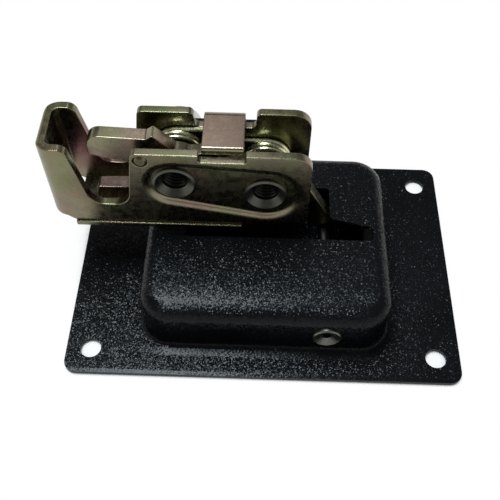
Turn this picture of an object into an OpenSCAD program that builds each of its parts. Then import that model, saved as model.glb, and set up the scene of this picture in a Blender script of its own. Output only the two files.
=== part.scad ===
// Flush paddle latch for a utility vehicle door, seen with its pan lying face down.
// X runs along the long side of the flange, Y away from the viewer, Z towards the inside of the door.
// The origin is the centre of the bolt pattern on the front face of the flange.

/* [Flange] */
// Width of the flange along X
flange_w = 127; // [120:0.5:150]
// Depth of the flange along Y
flange_d = 88.9; // [86:0.1:110]
// Thickness of the drawn sheet
sheet_t = 1.2; // [0.8:0.1:1.6]
// Radius of the flange corners
flange_corner_r = 4; // [1:0.5:8]
// Distance between the bolt holes along X
hole_spacing_x = 111.4; // [104:0.1:118]
// Distance between the bolt holes along Y
hole_spacing_y = 71.8; // [66:0.1:78]
// Radius of the bolt holes
hole_r = 3.35; // [2:0.05:4]

/* [Pan] */
// Centre of the pan along X
pan_x = 0.3; // [0:0.1:1]
// Width of the pan along X
pan_w = 79.8; // [79:0.1:86]
// Depth of the pan along Y
pan_d = 67.2; // [66:0.1:72]
// Height of the pan's back above the front of the flange
pan_h = 20; // [19.5:0.1:22]
// Radius of the pan's upright corners
pan_corner_r = 10; // [8:0.5:14]
// Radius of the rounded edge round the pan's back
pan_edge_r = 5; // [3:0.5:6]
// Radius of the fillet where the pan leaves the flange
pan_root_r = 1.6; // [0.5:0.1:3]

/* [Window in the pan's back] */
// Near edge of the window
window_near_y = -3.6; // [-8:0.1:-2]
// Left end of the window
window_left_x = -33; // [-33.4:0.1:-20]
// Right end of the window's main part
window_right_x = 21.2; // [21:0.1:22]
// Far edge of the window beside the mounting wall
window_far_y = 18.1; // [16:0.1:19]
// Tip of the window's pointed end
window_tip_x = 35.2; // [30:0.1:35.2]
// Place along Y where the pointed end meets the main part
window_tip_root_y = 5.2; // [4:0.1:7]
// Width of the pointed end at its tip
window_tip_w = 5.4; // [3:0.1:6]

/* [Mounting wall] */
// Left end of the wall bent up behind the latch
wall_left_x = -38; // [-40:0.5:-37]
// Right end of the wall
wall_right_x = 10; // [8:0.5:11]
// Height of the wall above the pan's back
wall_h = 28.2; // [28.2:0.1:32]
// Radius of the wall's top corners
wall_corner_r = 7; // [2:0.5:9]
// Inside radius of the bend at the wall's foot
wall_bend_r = 1.5; // [0.5:0.1:3]

/* [Latch body] */
// Thickness of the latch body's plate
plate_t = 2.8; // [2:0.1:3]
// Clear gap between the two side plates
body_gap = 15; // [14.8:0.1:17]
// Outside of the web that joins the side plates
web_x = -69.4; // [-72:0.1:-66]
// Right end of the side plates
body_right_x = 13.1; // [10.5:0.1:15]
// Height of the side plates above the pan's back
body_h = 34.3; // [33.9:0.1:36]
// Height of the guide wings above the pan's back
wing_h = 35; // [32:0.1:38]
// Width of the guide wings along their top
wing_w = 9.2; // [7.5:0.1:10]
// Height of the wings' lower edge above the pan's back
wing_low = 4.6; // [3.5:0.1:8]
// Outside radius of the two bends of the web
bend_r = 5; // [3.2:0.1:5.5]
// Height of the throat's floor above the pan's back
throat_floor = 10.7; // [8:0.1:10.9]
// Throat wall on the side of the rotor, at the top
throat_right_x = -41; // [-42:0.1:-40.5]
// Width of the throat at its floor
throat_floor_w = 11.6; // [10.4:0.1:12]
// Radius of the throat's floor corners
throat_r = 5.2; // [3:0.1:5.3]

/* [Bridge tab] */
// Left side of the tab that bridges the side plates
tab_left_x = -20.2; // [-20.4:0.1:-19]
// Width of the tab
tab_w = 12.7; // [10:0.1:13.2]
// Gap between the tab and the notch in the near plate, on each side
tab_notch_gap = 0.7; // [0.3:0.1:1.2]
// Distance from the tab's end to the near plate
tab_end_gap = 0.4; // [0.3:0.1:1.5]
// Width of the bend reliefs beside the tab
relief_w = 3.4; // [2:0.1:3.8]
// Depth of the bend reliefs
relief_d = 5.9; // [5:0.1:8]

/* [Pressed panel round the pivots] */
// Depth of the pressed panel
panel_depth = 1.2; // [1.1:0.1:2.2]
// Radius of the panel's floor round the rotor's bushing
panel_rotor_r = 7.9; // [7.2:0.1:8.2]
// Radius of the panel's floor round the pawl's bushing
panel_pawl_r = 9.8; // [8.4:0.1:10]
// Extra radius of the panel at the plate's face
panel_slope = 1.4; // [1:0.1:2.4]

/* [Base plate] */
// Thickness of the base plate
base_t = 2; // [1.5:0.1:2.4]
// Gap between the base plate and the pan's back
base_gap = 0.2; // [0.1:0.1:0.5]
// Left end of the base plate
base_left_x = -62.3; // [-63:0.1:-56]
// Right end of the base plate
base_right_x = -8; // [-14:0.5:-6]
// How far the base plate stands out in front of the near plate
base_lip = 0.7; // [0:0.1:2]

/* [Pivots] */
// Rotor pivot along X
rotor_x = -28.8; // [-29:0.1:-28.6]
// Rotor pivot above the pan's back
rotor_z = 21; // [20.8:0.1:21.2]
// Pawl pivot along X
pawl_x = -0.7; // [-0.9:0.1:-0.5]
// Pawl pivot above the pan's back
pawl_z = 16.8; // [16.6:0.1:17]
// Radius of the threaded bore through each bushing
bushing_bore_r = 4; // [3:0.1:4.2]
// Radius of the bushings where the rotor and pawl turn
bushing_r = 5.6; // [5.2:0.1:5.8]
// Radius of the bushings inside the springs
drum_r = 6.2; // [6:0.1:6.3]
// Radius of the bushings in the far plate
tail_r = 5; // [4.6:0.1:5.4]
// Radius of the bushings' flared heads
head_r = 6.8; // [6.2:0.1:7]
// Thickness of the flared heads
head_t = 1.1; // [0.8:0.1:1.5]
// Radial running clearance of the pivots
pivot_play = 0.05; // [0.02:0.01:0.09]
// Gap between flat faces that slide past each other
side_gap = 0.3; // [0.1:0.05:0.4]

/* [Rotor and pawl] */
// Thickness of the rotor and the pawl
claw_t = 4.7; // [4:0.1:4.9]
// Distance from the near plate's outside to the rotor and the pawl
claw_y = 7; // [6.6:0.1:7.1]
// Radius of the rotor's and the pawl's hubs
hub_r = 7.5; // [7.2:0.1:8]
// Reach of the pawl's nose from its pivot
nose_r = 17.6; // [17:0.1:17.8]
// Radius of the stud riveted into the near plate beside the rotor
stud_r = 2.2; // [1.5:0.05:2.3]
// Riveted stud along X
stud_x = -38.2; // [-38.4:0.1:-36]
// Distance from the riveted stud to the side plates' top edge
stud_drop = 3.1; // [2.8:0.1:5]

/* [Latch springs] */
// Diameter of the latch springs' wire
wire_d = 1.5; // [1:0.1:1.6]
// Distance from the rotor's pivot down to its spring's hook
rotor_hook_drop = 8.5; // [8:0.1:9]
// Distance from the pawl's pivot down to its spring's hook
pawl_hook_drop = 5; // [4.6:0.1:5.4]
// Distance between turns of the latch springs
coil_pitch = 1.6; // [1.6:0.02:1.66]
// Radial gap between a latch spring and its bushing
coil_play = 0.3; // [0.2:0.05:0.5]

/* [Paddle] */
// Thickness of the paddle's sheet
paddle_t = 2.2; // [1.5:0.1:2.6]
// How far the paddle lies behind the front of the flange
paddle_inset = 0.6; // [0.3:0.1:1]
// Left end of the paddle, where the fingers pull
paddle_left_x = -28; // [-32:0.5:-20]
// Right end of the paddle
paddle_right_x = 34.5; // [34:0.1:35]
// Gap between the paddle and the pan's side walls
paddle_side_gap = 1.2; // [1:0.1:1.3]
// Thickness of the paddle's side flanges and pull lip
paddle_flange_t = 1.4; // [1:0.1:2]
// Height of the pull lip
paddle_lip_h = 6; // [3:0.5:8]
// Hinge pin along X
pin_x = 19.9; // [19.7:0.1:20.1]
// Hinge pin above the front of the flange
pin_z = 10; // [9.8:0.1:10.2]
// Radius of the hinge pin
pin_r = 2; // [1.5:0.05:2.05]
// Radius of the hinge pin's flared ends
pin_head_r = 4.6; // [3.8:0.05:4.8]
// Thickness of the hinge pin's flared ends
pin_head_t = 1.2; // [0.8:0.1:1.5]
// Radius of the paddle's ears round the hinge pin
ear_r = 4.2; // [3.6:0.1:4.6]

/* [Trip bracket] */
// Thickness of the trip bracket
trip_t = 2; // [1.5:0.1:2.1]
// Top of the trip tongue above the front of the flange
trip_top_z = 16.8; // [16:0.1:17]
// Width of the trip tongue along Y
trip_w = 8.5; // [6:0.1:10]
// Gap between the trip tongue and the pawl's arm
trip_gap = 0.6; // [0.4:0.1:0.9]
// Radius of the trip bracket's rivets
rivet_r = 1.6; // [1:0.1:2]
// Clearance of the rivets in their holes
rivet_play = 0.02; // [0.01:0.01:0.1]
// Diameter of the paddle spring's wire
return_wire_d = 1.2; // [0.8:0.1:1.3]

/* [Screws] */
// Radius of the screws that hold the latch to the mounting wall
screw_r = 3.95; // [3.9:0.01:3.98]
// Radius of the screw heads
screw_head_r = 6.6; // [6.5:0.1:7.2]
// Height of the screw heads
screw_head_h = 4.4; // [3.6:0.1:6]
// Thickness of the lock washers
washer_t = 1.6; // [1:0.1:2]
// Radius of the lock washers
washer_r = 7.2; // [7:0.1:7.4]
// Length of the screws in the bushings
screw_grip = 9; // [6:0.5:11]

/* [Hidden] */
$fn = 48;
ARC_STEPS = 7;
WIRE_SIDES = 8;
TURN_STEPS = 20;
CUT = 1;

body_w = 2 * plate_t + body_gap;
body_foot = base_gap + base_t;
pan_left_x = pan_x - pan_w / 2;
pan_right_x = pan_x + pan_w / 2;
tab_right_x = tab_left_x + tab_w;
hole_fit_r = bushing_r + pivot_play;
claw_back_y = claw_y + claw_t;
drum_y = claw_back_y + side_gap;
coil_r = drum_r + coil_play + wire_d / 2;
coil_far_y = plate_t + body_gap - side_gap - wire_d / 2;
pivot_step = [pawl_x - rotor_x, pawl_z - rotor_z];
pivot_distance = norm(pivot_step);
claw_scale = pivot_distance / 28.412;
stud_z = body_h - stud_drop;
paddle_back_z = paddle_inset + paddle_t;
paddle_half_d = pan_d / 2 - sheet_t - paddle_side_gap;
paddle_corner_r = pan_corner_r - sheet_t - paddle_side_gap;
arm_tip = [22.9, -20.8] * claw_scale;
trip_x = pawl_x + arm_tip[0] + trip_gap;
trip_foot = 4 * trip_t;
trip_y = claw_y + claw_t / 2;

STEEL = [0.62, 0.60, 0.48];
DARK_STEEL = [0.55, 0.52, 0.42];
SPRING_STEEL = [0.72, 0.72, 0.70];
BLACK = [0.07, 0.07, 0.08];
ZINC = [0.75, 0.75, 0.73];
NYLON = [0.85, 0.84, 0.78];

// Unit vector from one point to another
function heading(from, to) = (to - from) / norm(to - from);

// Points of an arc round a centre
function arc_points(centre, r, from_angle, to_angle, steps = ARC_STEPS) =
    [for (i = [0:steps])
        let (a = from_angle + (to_angle - from_angle) * i / steps)
        centre + r * [cos(a), sin(a)]];

// Turns an angle into the range from -180 to 180
function wrapped(a) = a > 180 ? a - 360 : a < -180 ? a + 360 : a;

// Points that round one corner of an outline
function corner_points(before, at, after, r) =
    r == 0 ? [at] :
    let (u = heading(at, before),
         v = heading(at, after),
         half = acos(u * v) / 2,
         centre = at + heading([0, 0], u + v) * r / sin(half),
         start = at + u * r / tan(half) - centre,
         end = at + v * r / tan(half) - centre,
         a = atan2(start[1], start[0]))
    arc_points(centre, r, a, a + wrapped(atan2(end[1], end[0]) - a));

// An outline from corners given as [x, y, radius]
module outline(corners) {
    n = len(corners);
    at = [for (c = corners) [c[0], c[1]]];
    polygon([for (i = [0:n - 1]) each
        corner_points(at[(i + n - 1) % n], at[i], at[(i + 1) % n], corners[i][2])]);
}

// A shape drawn in X and Z, given thickness from one Y to another
module slab(y0, y1) {
    translate([0, y1, 0]) rotate([90, 0, 0]) linear_extrude(y1 - y0) children();
}

// A shape drawn in Y and Z, drawn out from one X to another
module bar(x0, x1) {
    translate([x0, 0, 0]) rotate([90, 0, 90]) linear_extrude(x1 - x0) children();
}

// A round piece along Y
module rod(x, z, r, y0, y1) {
    translate([x, y1, z]) rotate([90, 0, 0]) cylinder(h = y1 - y0, r = r);
}

// A turned piece along Y, its profile given as [radius, y]
module turned(x, z, profile) {
    translate([x, 0, z]) rotate([-90, 0, 0]) rotate_extrude() polygon(profile);
}

// Lifts what is measured from the pan's back
module on_pan() {
    translate([0, 0, pan_h]) children();
}

// Ring of points square to a wire at one point of its path
function wire_ring(at, along, r) =
    let (side = heading([0, 0, 0], cross(along, abs(along[1]) > 0.9 ? [1, 0, 0] : [0, 1, 0])),
         up = cross(side, along))
    [for (k = [0:WIRE_SIDES - 1])
        at + r * (cos(360 * k / WIRE_SIDES) * side + sin(360 * k / WIRE_SIDES) * up)];

// A round wire along a path
module wire(path, r) {
    n = len(path);
    along = [for (i = [0:n - 1]) heading(path[max(i - 1, 0)], path[min(i + 1, n - 1)])];
    rings = [for (i = [0:n - 1]) wire_ring(path[i], along[i], r)];
    last = n * WIRE_SIDES;
    sides = [for (i = [0:n - 2], k = [0:WIRE_SIDES - 1])
        let (k2 = (k + 1) % WIRE_SIDES)
        [i * WIRE_SIDES + k, i * WIRE_SIDES + k2, (i + 1) * WIRE_SIDES + k2, (i + 1) * WIRE_SIDES + k]];
    caps = [[for (k = [WIRE_SIDES - 1:-1:0]) k], [for (k = [0:WIRE_SIDES - 1]) last - WIRE_SIDES + k]];
    polyhedron([for (ring = rings) each ring], concat(sides, caps));
}

// Points of a coil round Y: it starts at an angle and a Y, and climbs a pitch with each turn
function coil_points(x, z, r, start_angle, turns, y, pitch) =
    let (steps = ceil(abs(turns) * TURN_STEPS))
    [for (i = [0:steps])
        let (a = start_angle + 360 * turns * i / steps)
        [x + r * cos(a), y + pitch * abs(turns) * i / steps, z + r * sin(a)]];

// Section of the pan from the centre of its corner outwards, shrunk by an inset
module pan_section(inset, floor_z) {
    wall = pan_corner_r - inset;
    bend = [pan_corner_r - pan_edge_r, pan_h - pan_edge_r];
    translate([0, floor_z]) square([wall, bend[1] - floor_z]);
    translate([0, bend[1]]) square([bend[0], pan_edge_r - inset]);
    intersection() {
        translate(bend) circle(pan_edge_r - inset);
        translate(bend) square(pan_edge_r);
    }
}

// Section of the fillet at the foot of the pan
module root_section() {
    difference() {
        translate([pan_corner_r, sheet_t]) square(pan_root_r);
        translate([pan_corner_r + pan_root_r, sheet_t + pan_root_r]) circle(pan_root_r);
    }
}

// Sweeps a section round the pan's rounded rectangle
module round_pan() {
    half_x = pan_w / 2 - pan_corner_r;
    half_y = pan_d / 2 - pan_corner_r;
    translate([pan_x, 0, 0]) {
        for (quarter = [0:3]) {
            flip = quarter % 2;
            reach = flip == 0 ? half_x : half_y;
            width = flip == 0 ? half_y : half_x;
            rotate(90 * quarter) {
                translate([reach, width, 0]) rotate_extrude(angle = 90) children();
                translate([reach, 0, 0]) rotate([90, 0, 0])
                    linear_extrude(2 * width, center = true) children();
            }
        }
    }
}

// The pan as a solid block, shrunk by an inset
module pan_block(inset, floor_z) {
    half_x = pan_w / 2 - pan_corner_r;
    half_y = pan_d / 2 - pan_corner_r;
    round_pan() pan_section(inset, floor_z);
    translate([pan_x - half_x, -half_y, floor_z]) cube([2 * half_x, 2 * half_y, pan_h - inset - floor_z]);
}

// Opening in the pan's back for the pawl's arm and the trip tongue
module window_outline() {
    outline([
        [window_left_x, window_near_y, 2],
        [window_tip_x, window_near_y, 1.2],
        [window_tip_x, window_near_y + window_tip_w, 1.6],
        [window_right_x, window_tip_root_y, 1.5],
        [window_right_x, window_far_y, 1],
        [wall_right_x, window_far_y, 0],
        [wall_right_x, body_w + sheet_t + wall_bend_r, 0],
        [wall_left_x, body_w + sheet_t + wall_bend_r, 0],
        [wall_left_x, window_far_y, 0],
        [window_left_x, window_far_y, 0]]);
}

// Wall bent up from the pan's back, which carries the latch
module mounting_wall() {
    foot_y = body_w + sheet_t + wall_bend_r;
    top_z = pan_h + wall_h;
    intersection() {
        bar(wall_left_x, wall_right_x) outline([
            [body_w, top_z, 0],
            [body_w, pan_h - sheet_t, wall_bend_r + sheet_t],
            [foot_y, pan_h - sheet_t, 0],
            [foot_y, pan_h, 0],
            [body_w + sheet_t, pan_h, wall_bend_r],
            [body_w + sheet_t, top_z, 0]]);
        slab(body_w - CUT, foot_y + CUT) outline([
            [wall_left_x, 0, 0],
            [wall_left_x, top_z, wall_corner_r],
            [wall_right_x, top_z, wall_corner_r],
            [wall_right_x, 0, 0]]);
    }
}

module pan() {
    color(BLACK) difference() {
        union() {
            difference() {
                union() {
                    linear_extrude(sheet_t) outline([
                        [-flange_w / 2, -flange_d / 2, flange_corner_r],
                        [flange_w / 2, -flange_d / 2, flange_corner_r],
                        [flange_w / 2, flange_d / 2, flange_corner_r],
                        [-flange_w / 2, flange_d / 2, flange_corner_r]]);
                    pan_block(0, 0);
                    round_pan() root_section();
                }
                pan_block(sheet_t, -CUT);
                translate([0, 0, pan_h - sheet_t - CUT]) linear_extrude(sheet_t + 2 * CUT) window_outline();
            }
            mounting_wall();
        }
        for (sx = [-1, 1], sy = [-1, 1])
            translate([sx * hole_spacing_x / 2, sy * hole_spacing_y / 2, -CUT])
                cylinder(h = sheet_t + 2 * CUT, r = hole_r);
        rod(pin_x, pin_z, pin_r + pivot_play, -pan_d / 2 - CUT, pan_d / 2 + CUT);
        for (p = [[rotor_x, rotor_z], [pawl_x, pawl_z]])
            rod(p[0], pan_h + p[1], screw_r + 2 * pivot_play, body_w - CUT, body_w + sheet_t + CUT);
    }
}

// Tubular pin whose flared ends are dished
module hinge_pin() {
    wall = pan_d / 2;
    end = wall + pin_head_t;
    bore_r = pin_r * 0.7;
    bore_end = wall - pin_r;
    dish = wall + pin_head_t * 0.1;
    lip_r = pin_head_r - pin_head_t * 0.35;
    lip_end = end - pin_head_t * 0.3;
    color(ZINC) turned(pin_x, pin_z, [
        [0, -bore_end],
        [bore_r, -bore_end],
        [bore_r, -dish],
        [lip_r, -end],
        [pin_head_r, -lip_end],
        [pin_head_r, -wall],
        [pin_r, -wall],
        [pin_r, wall],
        [pin_head_r, wall],
        [pin_head_r, lip_end],
        [lip_r, end],
        [bore_r, dish],
        [bore_r, bore_end],
        [0, bore_end]]);
}

module hinge_washers() {
    inner = paddle_half_d + 0.1;
    outer = pan_d / 2 - sheet_t - 0.1;
    color(NYLON) for (side = [-1, 1])
        difference() {
            rod(pin_x, pin_z, ear_r, min(side * inner, side * outer), max(side * inner, side * outer));
            rod(pin_x, pin_z, pin_r + pivot_play, -pan_d / 2, pan_d / 2);
        }
}

// Side flange of the paddle, with the ear that turns on the hinge pin
module paddle_flange_outline() {
    rise = pin_z - paddle_back_z;
    outline([
        [paddle_left_x, paddle_inset, 0],
        [paddle_left_x, paddle_back_z + paddle_lip_h, 1.5],
        [paddle_left_x + 6, paddle_back_z + paddle_lip_h, 2],
        [paddle_left_x + 12, paddle_back_z + 2, 3],
        [pin_x - 4 - ear_r, paddle_back_z + 2, 3],
        [pin_x - ear_r, paddle_back_z + rise, 0],
        [pin_x + ear_r, paddle_back_z + rise, 0],
        [paddle_right_x - paddle_corner_r, paddle_back_z, 0],
        [paddle_right_x - paddle_corner_r, paddle_inset, 0]]);
}

module paddle() {
    color(BLACK) difference() {
        union() {
            translate([0, 0, paddle_inset]) linear_extrude(paddle_t) outline([
                [paddle_left_x, -paddle_half_d, 1],
                [paddle_right_x, -paddle_half_d, paddle_corner_r],
                [paddle_right_x, paddle_half_d, paddle_corner_r],
                [paddle_left_x, paddle_half_d, 1]]);
            for (y = [-paddle_half_d, paddle_half_d - paddle_flange_t]) {
                slab(y, y + paddle_flange_t) paddle_flange_outline();
                rod(pin_x, pin_z, ear_r, y, y + paddle_flange_t);
            }
            slab(-paddle_half_d, paddle_half_d) outline([
                [paddle_left_x, paddle_inset, 0],
                [paddle_left_x, paddle_back_z + paddle_lip_h, 0.6],
                [paddle_left_x + paddle_flange_t, paddle_back_z + paddle_lip_h, 0.6],
                [paddle_left_x + paddle_flange_t, paddle_inset, 0]]);
        }
        rod(pin_x, pin_z, pin_r + pivot_play, -paddle_half_d - CUT, paddle_half_d + CUT);
        trip_rivet_places() translate([0, 0, -CUT]) cylinder(h = pan_h, r = rivet_r);
    }
}

// Places of the rivets that hold the trip bracket to the paddle
module trip_rivet_places() {
    for (side = [-1, 1])
        translate([trip_x + trip_t + trip_foot * 0.56, trip_y + side * trip_w, 0]) children();
}

module trip_bracket() {
    color(DARK_STEEL) difference() {
        union() {
            slab(trip_y - trip_w / 2, trip_y + trip_w / 2) outline([
                [trip_x, paddle_back_z, trip_t],
                [trip_x, trip_top_z, trip_t / 3],
                [trip_x + trip_t, trip_top_z, trip_t / 3],
                [trip_x + trip_t, paddle_back_z + trip_t, 0.4 * trip_t],
                [trip_x + trip_t + trip_foot, paddle_back_z + trip_t, 0],
                [trip_x + trip_t + trip_foot, paddle_back_z, 0]]);
            translate([0, 0, paddle_back_z]) linear_extrude(trip_t) outline([
                [trip_x + trip_t * 1.5, trip_y - 1.5 * trip_w, trip_t],
                [trip_x + trip_t + trip_foot, trip_y - 1.5 * trip_w, trip_t],
                [trip_x + trip_t + trip_foot, trip_y + 1.5 * trip_w, trip_t],
                [trip_x + trip_t * 1.5, trip_y + 1.5 * trip_w, trip_t]]);
        }
        trip_rivet_places() cylinder(h = pan_h, r = rivet_r);
    }
}

module trip_rivets() {
    top_z = paddle_back_z + trip_t;
    color(ZINC) trip_rivet_places() rotate_extrude() polygon([
        [0, paddle_inset],
        [rivet_r - rivet_play, paddle_inset],
        [rivet_r - rivet_play, top_z],
        [rivet_r * 1.8, top_z],
        [rivet_r * 1.5, top_z + rivet_r * 0.6],
        [rivet_r * 0.8, top_z + rivet_r * 0.9],
        [0, top_z + rivet_r * 0.9]]);
}

module paddle_spring() {
    r = pin_r + 0.6 + return_wire_d / 2;
    start_y = -8 * pin_r;
    pitch = return_wire_d + 0.25;
    turns = 2.5;
    end_y = start_y + pitch * turns;
    low_z = paddle_back_z + return_wire_d / 2 + 0.35;
    high_z = pan_h - sheet_t - return_wire_d / 2 - 0.35;
    color(SPRING_STEEL) wire(concat(
        [[pin_x + 5.5 * pin_r, start_y, low_z], [pin_x + 2.5 * pin_r, start_y, (low_z + pin_z - r) / 2 + 0.3]],
        coil_points(pin_x, pin_z, r, 270, -turns, start_y, pitch),
        [[pin_x + 2 * pin_r, end_y, pin_z + r + 0.6], [pin_x + 5.25 * pin_r, end_y, high_z]]), return_wire_d / 2);
}

// Side outline of the latch body, shared by both side plates and the web
module body_outline() {
    throat_right_foot = throat_right_x - 3;
    outline([
        [web_x, wing_h, 1.5],
        [web_x + wing_w, wing_h, 3],
        [throat_right_foot - throat_floor_w, throat_floor, throat_r],
        [throat_right_foot, throat_floor, throat_r],
        [throat_right_x, body_h, 1.8],
        [body_right_x, body_h, 5.5],
        [body_right_x, body_foot, 2],
        [web_x + wing_w - 2.1, body_foot, 0],
        [web_x + wing_w - 4.7, wing_low - 0.3, 1.5],
        [web_x, wing_low, 1.2]]);
}

// Plan of the folded sheet: two side plates joined by a web
module body_plan() {
    outline([
        [body_right_x + CUT, 0, 0],
        [web_x, 0, bend_r],
        [web_x, body_w, bend_r],
        [body_right_x + CUT, body_w, 0],
        [body_right_x + CUT, body_w - plate_t, 0],
        [web_x + plate_t, body_w - plate_t, bend_r - plate_t],
        [web_x + plate_t, plate_t, bend_r - plate_t],
        [body_right_x + CUT, plate_t, 0]]);
}

// Panel round both pivots, its walls leaning in with depth; grow widens it all round
module panel(grow_face, grow_floor, y0, y1) {
    hull() {
        translate([rotor_x, y0, rotor_z]) rotate([-90, 0, 0])
            cylinder(h = y1 - y0, r1 = panel_rotor_r + grow_face, r2 = panel_rotor_r + grow_floor);
        translate([pawl_x, y0, pawl_z]) rotate([-90, 0, 0])
            cylinder(h = y1 - y0, r1 = panel_pawl_r + grow_face, r2 = panel_pawl_r + grow_floor);
    }
}

// Tab bent over from the far plate to bridge the top of the latch
module bridge_tab() {
    bar(tab_left_x, tab_right_x) outline([
        [plate_t + tab_end_gap, body_h, 1],
        [body_w, body_h, plate_t + 0.8],
        [body_w, body_h - relief_d - CUT, 0],
        [body_w - plate_t, body_h - relief_d - CUT, 0],
        [body_w - plate_t, body_h - plate_t, 0.8],
        [plate_t + tab_end_gap, body_h - plate_t, 0.4]]);
}

module latch_body() {
    relief_foot = body_h - relief_d;
    notch_foot = body_h - plate_t;
    shoulder = body_h + 0.02;
    color(STEEL) on_pan() difference() {
        union() {
            difference() {
                intersection() {
                    linear_extrude(2 * wing_h) body_plan();
                    slab(-CUT, body_w + CUT) body_outline();
                }
                slab(-CUT, plate_t + CUT) outline([
                    [tab_left_x - tab_notch_gap, wing_h + CUT, 0],
                    [tab_left_x - tab_notch_gap, notch_foot, 0.8],
                    [tab_right_x + tab_notch_gap, notch_foot, 0.8],
                    [tab_right_x + tab_notch_gap, wing_h + CUT, 0]]);
                slab(body_w - plate_t - CUT, body_w + CUT) outline([
                    [tab_left_x - 2 * relief_w, wing_h + CUT, 0],
                    [tab_left_x - 2 * relief_w, shoulder, 0],
                    [tab_left_x - relief_w, shoulder, relief_w / 2],
                    [tab_left_x - relief_w, relief_foot, relief_w / 2],
                    [tab_right_x + relief_w, relief_foot, relief_w / 2],
                    [tab_right_x + relief_w, shoulder, relief_w / 2],
                    [tab_right_x + 2 * relief_w, shoulder, 0],
                    [tab_right_x + 2 * relief_w, wing_h + CUT, 0]]);
            }
            bridge_tab();
            panel(plate_t * 0.7, plate_t * 0.45, plate_t - 0.4, plate_t + panel_depth);
        }
        panel(panel_slope, 0, 0, panel_depth);
        for (p = [[rotor_x, rotor_z], [pawl_x, pawl_z]]) {
            rod(p[0], p[1], hole_fit_r, -CUT, plate_t + panel_depth + CUT);
            rod(p[0], p[1], tail_r + pivot_play, body_w - plate_t - CUT, body_w + CUT);
        }
        rod(stud_x, stud_z, stud_r, -CUT, plate_t + CUT);
    }
}

module base_plate() {
    color(DARK_STEEL) on_pan() translate([base_left_x, -base_lip, base_gap])
        cube([base_right_x - base_left_x, base_lip + body_w, base_t]);
}

module guide_stud() {
    color(ZINC) on_pan() turned(stud_x, stud_z, [
        [0, -0.25],
        [stud_r - 0.8, -0.25],
        [stud_r - 0.05, 0.5],
        [stud_r - 0.05, plate_t],
        [stud_r + 0.4, plate_t],
        [stud_r, plate_t + 0.6],
        [0, plate_t + 0.6]]);
}

// Rotor seen from its pivot, with the mouth that holds the striker open to the left
module rotor_outline() {
    outline([
        [-26.6, 13.2, 4],
        [-8.4, 12.3, 1],
        [-6.3, 13.9, 0.5],
        [0.5, 7, 0],
        [5, 6.2, 0.8],
        [11.1, 7.35, 0.3],
        [10.2, 2.9, 0.6],
        [10.6, -3.5, 3],
        [5.5, -10.5, 4],
        [-9, -14.8, 5],
        [-27, -16.2, 1.5],
        [-26.4, -10.2, 1],
        [-11.9, -9.6, 5.4],
        [-11.9, 1.4, 5],
        [-26.7, 5.3, 1.2]]);
}

module rotor() {
    color(STEEL) on_pan() difference() {
        union() {
            slab(claw_y, claw_back_y) translate([rotor_x, rotor_z]) scale(claw_scale) rotor_outline();
            rod(rotor_x, rotor_z, hub_r, claw_y, claw_back_y);
        }
        rod(rotor_x, rotor_z, hole_fit_r, claw_y - CUT, claw_back_y + CUT);
        rod(rotor_x - coil_r, rotor_z - rotor_hook_drop, wire_d / 2 + 0.3, claw_y - CUT, claw_back_y + CUT);
    }
}

// Nose of the pawl, which blocks the rotor, seen from the pawl's pivot
module nose_outline() {
    polygon(concat(arc_points([0, 0], nose_r, 155.1, 144.5), claw_scale * [[-4, 6.4], [-6.8, -2]]));
}

// Arm of the pawl, which trips it, seen from the pawl's pivot
module arm_outline() {
    outline([
        [3, 6.6, 0],
        [10, 2, 3],
        [14.6, -5.1, 8],
        [22.9, -20.8, 1],
        [17.6, -23.6, 1.5],
        [9, -8.2, 6],
        [-1, -7, 0]]);
}

module pawl() {
    color(STEEL) on_pan() difference() {
        union() {
            slab(claw_y, claw_back_y) translate([pawl_x, pawl_z]) nose_outline();
            slab(claw_y, claw_back_y) translate([pawl_x, pawl_z]) scale(claw_scale) arm_outline();
            rod(pawl_x, pawl_z, hub_r, claw_y, claw_back_y);
        }
        rod(pawl_x, pawl_z, hole_fit_r, claw_y - CUT, claw_back_y + CUT);
        rod(pawl_x + coil_r, pawl_z - pawl_hook_drop, wire_d / 2 + 0.3, claw_y - CUT, claw_back_y + CUT);
    }
}

// Flanged bushing a claw turns on: dished head in front, spring drum behind
module bushing(x, z) {
    face = panel_depth - head_t;
    dish_r = head_r - 0.8;
    color(ZINC) on_pan() turned(x, z, [
        [bushing_bore_r, panel_depth + 0.8],
        [dish_r, face],
        [head_r, face + 0.3],
        [head_r, panel_depth],
        [bushing_r, panel_depth],
        [bushing_r, drum_y],
        [drum_r, drum_y],
        [drum_r, body_w - plate_t - 0.05],
        [tail_r, body_w - plate_t - 0.05],
        [tail_r, body_w - 0.1],
        [bushing_bore_r, body_w - 0.1]]);
}

module rotor_bushing() {
    bushing(rotor_x, rotor_z);
}

module pawl_bushing() {
    bushing(pawl_x, pawl_z);
}

// Washer that keeps a claw off the pressed panel
module spacer(x, z) {
    color(DARK_STEEL) on_pan() difference() {
        rod(x, z, hub_r, plate_t + panel_depth, claw_y - 0.1);
        rod(x, z, hole_fit_r, plate_t, claw_y);
    }
}

module rotor_spacer() {
    spacer(rotor_x, rotor_z);
}

module pawl_spacer() {
    spacer(pawl_x, pawl_z);
}

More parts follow.
